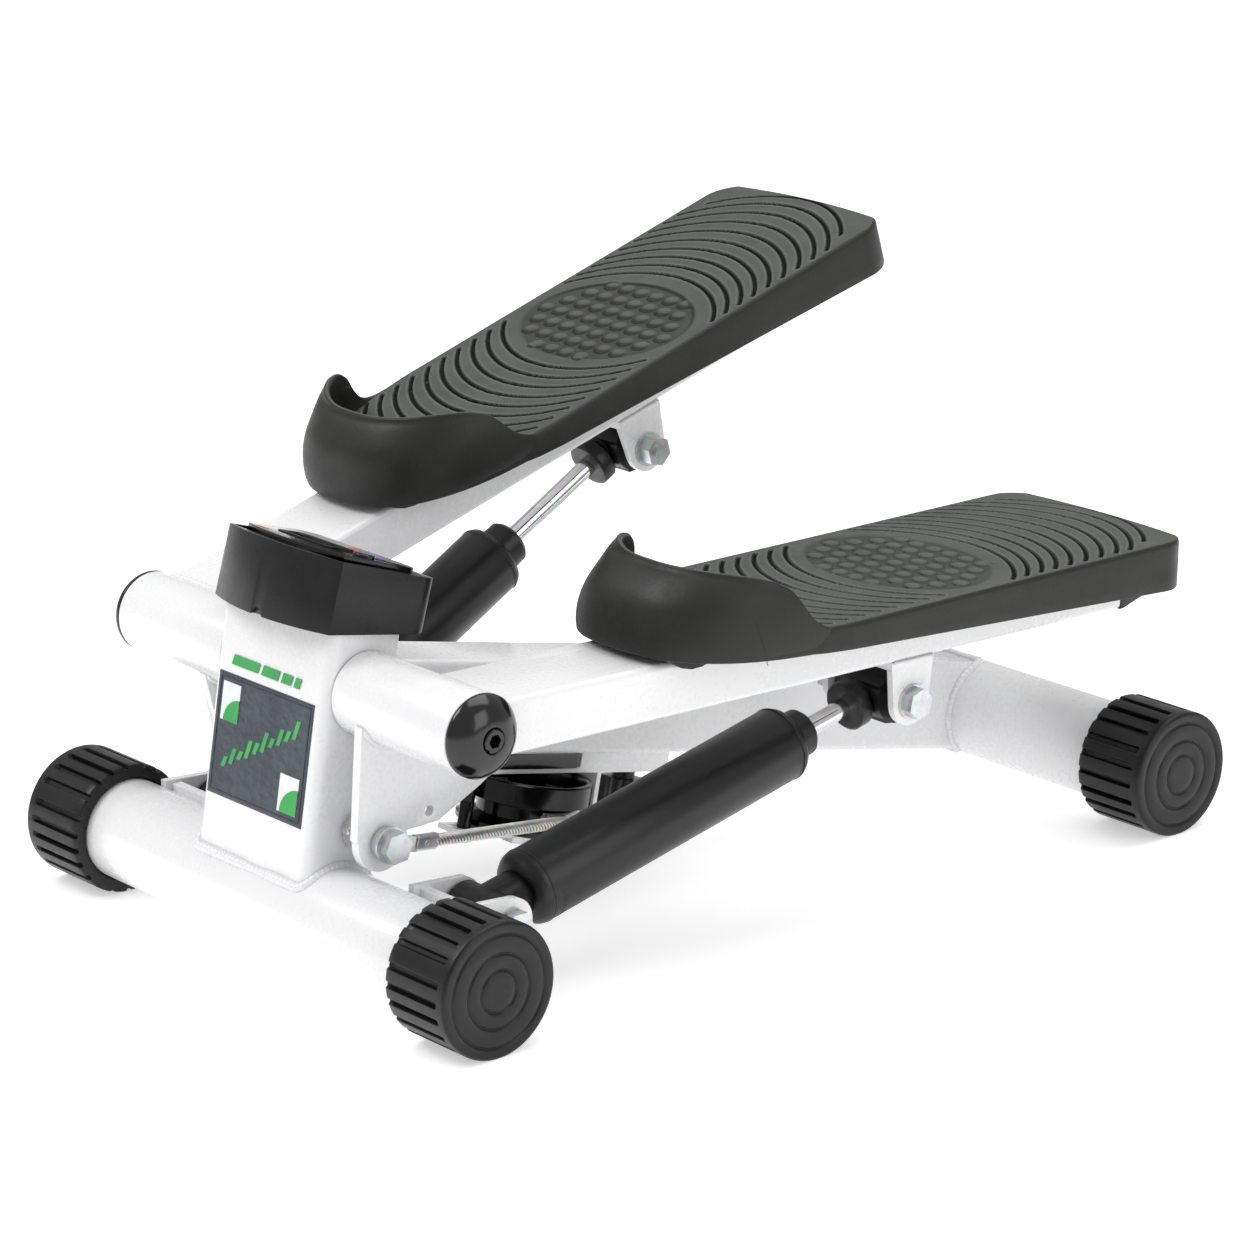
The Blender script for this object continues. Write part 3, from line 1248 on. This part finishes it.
# ------------------------------------------------------------ damper cylinders
def cylinder_details(side):
    """Row of small raised marks, and rolled seams near both ends."""
    axis, square = tilt_axes(CYLINDER_TILT[side])
    # the second radial axis points down from the cylinder
    square = -square if np.cross(axis, X_AXIS) @ square < 0 else square
    origin = np.array([SIGN[side] * ARM_X, -171.65, 38.2])
    marks = []
    for k in range(22):
        angle = math.radians(-62 + k * 5.2) + math.pi / 2 - 0.5
        outward = math.cos(angle) * X_AXIS + math.sin(angle) * square
        tangent = -math.sin(angle) * X_AXIS + math.cos(angle) * square
        length = (2.6, 1.7, 2.1)[k % 3]
        marks.append(rounded_box(origin + axis * 33.0 + outward * 17.72,
                                 (axis, tangent, outward), (length, 0.55, 0.26), 0.1))
    build(f"{side}_cylinder_marks", joined(marks), "cylinder_paint", f"{side}_cylinder")
    seams = []
    for station, cylinder_radius, bead in ((181.0, 17.82, 0.55), (27.6, 17.80, 0.5)):
        radius = cylinder_radius - bead * 0.55
        ring = ellipse(origin + axis * station, X_AXIS * radius, square * radius, 121)
        seams.append(tube(ring, bead, 10))
    build(f"{side}_cylinder_seams", joined(seams), "cylinder_paint", f"{side}_cylinder", smooth=0)


for side in SIDES:
    cylinder_details(side)

# ---------------------------------------------------------------- front label
# (x from, x to, height from, height to) up the post's front face
LABEL = (-35.5, 33.5, 23.2, 79.2)
BORDER_MARGIN = 1.8
BORDER_WIDTH = 0.5
TILES = ((-31.6, -18.8, 57.6, 75.2), (15.6, 29.2, 27.4, 44.4))
QUARTER_RADII = (10.6, 11.8)
BAR_HEIGHTS = (5.0, 7.6, 4.4, 8.6, 5.6, 9.6, 4.6, 7.8, 5.2, 8.8)
POST_BARS = ((-27.5, 19.0), (-6.0, 12.0), (8.4, 7.0), (17.6, 4.0))  # (x, width)


def label_point(x, height, lift):
    return post_point(x, -POST_HALF_DEPTH - lift, height)


def rectangle(x_from, x_to, low, high, inset=0.0):
    left, right, bottom, top = x_from + inset, x_to - inset, low + inset, high - inset
    return [(left, bottom), (right, bottom), (right, top), (left, top)]


def label_plate():
    x_from, x_to, low, high = LABEL
    columns, rows = (60, 50) if QUICK else (200, 164)
    x, height = np.meshgrid(np.linspace(x_from, x_to, columns), np.linspace(low, high, rows),
                            indexing="ij")
    # creased leather-like relief from summed ridged waves
    rng = np.random.default_rng(21)
    relief = np.zeros_like(x)
    for k in range(46):
        angle = rng.uniform(0, math.pi)
        wavelength = rng.uniform(2.2, 9.0)
        phase = rng.uniform(0, 6.28)
        wave_x = math.cos(angle) * 2 * math.pi / wavelength
        wave_height = math.sin(angle) * 2 * math.pi / wavelength
        bend = 0.9 * np.sin(x * 0.16 + k) + 0.8 * np.sin(height * 0.21 + 2 * k)
        wave = np.sin(wave_x * x * 0.5 + wave_height * height * 0.5 + phase + bend)
        relief += (wavelength / 9.0) * (1 - np.abs(wave))
    relief = (relief - relief.mean()) / relief.std()
    edge = np.minimum(np.minimum(x - x_from, x_to - x), np.minimum(height - low, high - height))
    calm = np.clip((edge - 1.6) / 1.2, 0, 1)
    lift = 0.42 + 0.05 * np.clip(relief, -2.2, 2.2) * calm
    lift = np.where(edge < 0.35, 0.30, lift)
    top = label_point(x, height, lift).reshape(-1, 3)
    row, column = perimeter(rows, columns)
    back = label_point(x[column, row], height[column, row], 0.02)
    border = (column * rows + row).tolist()
    base, count = len(top), len(border)
    faces = grid_faces(columns, rows)
    for k in range(count):
        after = (k + 1) % count
        faces.append([border[k], border[after], base + after, base + k])
    faces.append([base + k for k in range(count)][::-1])
    plate = build("label_plate", (np.concatenate([top, back]), faces), "label_print", "frame",
                  smooth=60)
    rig.replaces(plate, "front_label")


def prints(name, polygons, material, lift=0.62, thickness=0.34):
    """Thin raised prints from polygons of (x, height) points on the post's front."""
    parts = []
    for polygon in polygons:
        outline = np.array(polygon, float)
        centre = outline.mean(0)
        reach = np.maximum(np.linalg.norm(outline - centre, axis=1), 0.5)
        inset = centre + (outline - centre) * (1 - 0.10 / reach)[:, None]
        parts.append(capped([label_point(*outline.T, lift - thickness),
                             label_point(*outline.T, lift - 0.06),
                             label_point(*inset.T, lift)]))
    build(name, joined(parts), material, "frame", "label_print", smooth=30)


def quarter_disc(x, height, radius):
    """Quarter disc above and to the -x side of its corner."""
    angles = [math.radians(90 + 90 * k / 20) for k in range(21)]
    return [(x, height)] + [(x + radius * math.cos(angle), height + radius * math.sin(angle))
                            for angle in angles]


def slanted(x, height, width, rise, lean):
    return [(x, height), (x + width, height), (x + width + lean, height + rise),
            (x + lean, height + rise)]


label_plate()
outer = rectangle(*LABEL, inset=BORDER_MARGIN)
inner = rectangle(*LABEL, inset=BORDER_MARGIN + BORDER_WIDTH)
prints("label_border", [[outer[k], outer[(k + 1) % 4], inner[(k + 1) % 4], inner[k]]
                        for k in range(4)], "label_edge")
# pale tiles with a green quarter disc, in opposite corners
prints("label_white_tiles", [rectangle(*tile) for tile in TILES], "print_white")
prints("label_green_quarters",
       [quarter_disc(tile[1], tile[2], radius) for tile, radius in zip(TILES, QUARTER_RADII)],
       "print_green", lift=0.78, thickness=0.3)
# rising row of slanting bars across the middle
prints("label_bars",
       [slanted(-27.5 + k * 5.35, 37.5 + k * 2.75 - rise * 0.15, 2.6, rise, 1.5 + rise * 0.12)
        for k, rise in enumerate(BAR_HEIGHTS)], "print_green")
# four slanting bars above the plate, each shorter than the last
prints("post_bars", [slanted(x, 83.6, width, 4.6, 1.4) for x, width in POST_BARS], "print_green")

# -------------------------------------------------------------------- console
CONSOLE_FACE = 2.2
DISPLAY_CENTRE = (-4, 21)
BEZEL_HALF_SIZE = (19.0, 8.0)
BEZEL_OPENING = (17.2, 6.2)


def console_oval(name, centre, radii, top, rim, material, turn=0.0):
    """Raised oval pad with a rounded rim on the console's face."""
    angle = full_turn(48)
    across, deep = radii[0] * np.cos(angle), radii[1] * np.sin(angle)
    cos, sin = math.cos(math.radians(turn)), math.sin(math.radians(turn))
    outline = np.stack([centre[0] + across * cos - deep * sin,
                        centre[1] + across * sin + deep * cos], 1)
    middle = outline.mean(0)
    half_width = max(np.ptp(outline[:, 0]) / 2, 1)
    rows = [(1.0, CONSOLE_FACE), (1.0, top - rim)]
    for k in (1, 2, 3):
        lean = math.pi / 2 * k / 3
        rows.append((1 - (1 - math.cos(lean)) * rim / half_width,
                     top - rim + rim * math.sin(lean)))
    rings = [console_point(*(middle + (outline - middle) * scale).T, height)
             for scale, height in rows]
    build(name, capped(rings), material, "frame", "gloss_black", smooth=40)


def console_bezel():
    """Frame round the display."""
    outer = rounded_rect(*BEZEL_HALF_SIZE, 2.4)
    inner = outer * np.divide(BEZEL_OPENING, BEZEL_HALF_SIZE)
    # (share of the way from the outer to the inner outline, height)
    rows = ((0, CONSOLE_FACE), (0, 2.9), (0.07, 3.1), (0.7, 3.1), (1, 2.5), (1, CONSOLE_FACE))
    points = [console_point(*(outer * (1 - share) + inner * share + DISPLAY_CENTRE).T, height)
              for share, height in rows]
    faces = grid_faces(len(rows), len(outer), wrap_rows=True, wrap_columns=True)
    build("console_bezel", (np.concatenate(points), faces), "black_plastic", "frame", smooth=30)


console_oval("console_red_oval", centre=(9.5, 34.0), radii=(6.0, 2.4), top=2.75, rim=0.2,
             material="print_red")
console_oval("console_violet_oval", centre=(20.0, 35.0), radii=(6.2, 2.6), top=3.0, rim=0.2,
             material="print_violet")
console_oval("console_orange_mark", centre=(-24.0, 6.5), radii=(3.4, 0.9), top=2.7, rim=0.15,
             material="print_orange", turn=8)
console_bezel()

# ------------------------------------------------ finishing the CAD nodes kept
# bevel width in mm
BEVELS = {
    "front_cross_tube": 0.5, "rear_cross_tube": 0.5, "post": 0.5, "main_beam": 0.5,
    "left_arm_tube": 0.4, "right_arm_tube": 0.4, "left_sleeve": 0.6, "right_sleeve": 0.6,
    "lower_cylinder_brackets": 0.5, "left_cylinder_bracket": 0.5, "right_cylinder_bracket": 0.5,
    "left_lever_plate": 0.5, "right_lever_plate": 0.5, "pulley_bracket": 0.4,
    "bracket_spacer": 0.5, "left_arm_plug": 0.8, "right_arm_plug": 0.8, "console_housing": 1.3,
    "console_faceplate": 0.5, "console_lens": 0.2, "left_lower_eye": 0.6, "right_lower_eye": 0.6,
    "left_rod_end": 0.5, "right_rod_end": 0.5, "stride_knob": 0.4, "mode_button": 0.2,
    "axle_end_caps": 0.3,
}
# nodes whose material differs from the one their slot names
MATERIAL_SWAPS = {"axle_end_caps": "cap_black", "axle_end_bolts": "cap_black",
                  "pulley_wheel": "pulley_black", "bracket_spacer": "cap_black"}


def finish_node(name, ob):
    data = ob.data
    for slot in ob.material_slots:
        key = slot.material.name.split(".")[0] if slot.material else ""
        if key in MATERIALS:
            slot.material = MATERIALS[MATERIAL_SWAPS.get(name, key)]
    if "custom_normal" in data.attributes:
        data.attributes.remove(data.attributes["custom_normal"])
    data.polygons.foreach_set("use_smooth", [True] * len(data.polygons))
    join = ob.modifiers.new("join", "WELD")
    join.merge_threshold = 0.000002
    if name in BEVELS:
        bevel = ob.modifiers.new("edges", "BEVEL")
        bevel.width = BEVELS[name] * MM
        bevel.segments = 3
        bevel.limit_method = "ANGLE"
        bevel.angle_limit = math.radians(38)
        bevel.use_clamp_overlap = True
        bevel.harden_normals = False
    split = ob.modifiers.new("facets", "EDGE_SPLIT")
    split.split_angle = math.radians(32)
    split.use_edge_sharp = False


for name, ob in frame["nodes"].items():
    if not ob.hide_render:
        finish_node(name, ob)


# ------------------------------------------- stage and camera, in metres
def stage_floor():
    half = 9.0
    data = bpy.data.meshes.new("stage_floor")
    corners = [(-half, -half, 0), (half, -half, 0), (half, half, 0), (-half, half, 0)]
    data.from_pydata(corners, [], [(0, 1, 2, 3)])
    ob = bpy.data.objects.new("stage_floor", data)
    bpy.context.scene.collection.objects.link(ob)
    graph = Graph("stage_floor")
    color = graph.mix(graph.noise(1.2, detail=4.0), (0.90, 0.90, 0.90), (0.93, 0.93, 0.93))
    graph.surface({
        "Base Color": color,
        "Roughness": graph.remap(graph.noise(40.0), low=0.55, high=0.65),
        "Specular IOR Level": 0.2,
        "Emission Color": (1.0, 1.0, 1.0),
        "Emission Strength": 0.46,
    })
    data.materials.append(graph.mat)
    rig.stage(ob)


def area_light(name, location, size, power):
    """Rectangular light aimed at the lower middle of the machine."""
    light = bpy.data.lights.new(name, "AREA")
    light.shape = "RECTANGLE"
    light.size, light.size_y = size
    light.energy = power
    ob = bpy.data.objects.new(name, light)
    ob.location = location
    aim = Vector((0, 0, 0.1)) - Vector(location)
    ob.rotation_euler = aim.to_track_quat("-Z", "Y").to_euler()
    bpy.context.scene.collection.objects.link(ob)
    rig.stage(ob)


def studio_world():
    """Plain white where the camera sees it, softer as a light."""
    world = bpy.data.worlds.new("studio")
    world.use_nodes = True
    tree = world.node_tree
    background = tree.nodes["Background"]
    background.inputs[0].default_value = (1.0, 1.0, 1.0, 1.0)
    light_path = tree.nodes.new("ShaderNodeLightPath")
    strength = tree.nodes.new("ShaderNodeMapRange")
    strength.inputs["To Min"].default_value = 0.56
    strength.inputs["To Max"].default_value = 1.0
    tree.links.new(light_path.outputs["Is Camera Ray"], strength.inputs["Value"])
    tree.links.new(strength.outputs["Result"], background.inputs[1])
    bpy.context.scene.world = world


def camera():
    azimuth, elevation, roll = math.radians(48.74), math.radians(17.31), math.radians(0.11)
    forward = Vector((-math.sin(azimuth) * math.cos(elevation),
                      math.cos(azimuth) * math.cos(elevation), -math.sin(elevation)))
    level = forward.cross(Vector((0, 0, 1))).normalized()
    upright = level.cross(forward)
    right = level * math.cos(roll) + upright * math.sin(roll)
    up = -level * math.sin(roll) + upright * math.cos(roll)
    pose = Matrix((right, up, -forward)).transposed().to_4x4()
    pose.translation = (1.55123, -1.36874, 0.75828)
    data = bpy.data.cameras.new("camera")
    data.lens = 132.0984
    data.sensor_width = 36
    data.clip_start, data.clip_end = 0.05, 60
    ob = bpy.data.objects.new("camera", data)
    ob.matrix_world = pose
    bpy.context.scene.collection.objects.link(ob)
    bpy.context.scene.camera = ob


stage_floor()
area_light("key_top_left", location=(-0.9, -1.3, 1.9), size=(1.1, 1.1), power=24.0)
area_light("fill_right", location=(2.2, 0.3, 1.1), size=(1.2, 1.6), power=12.0)
area_light("top_soft", location=(0.1, 0.6, 2.2), size=(1.8, 1.8), power=22.5)
studio_world()
bpy.context.scene.view_settings.view_transform = "Standard"
bpy.context.scene.view_settings.look = "None"
camera()

json.dump({"cad": [list(map(float, c)) for c in SIZE_CAD],
           "visual": [list(map(float, c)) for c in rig.bounds()]},
          open("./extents.json", "w"))
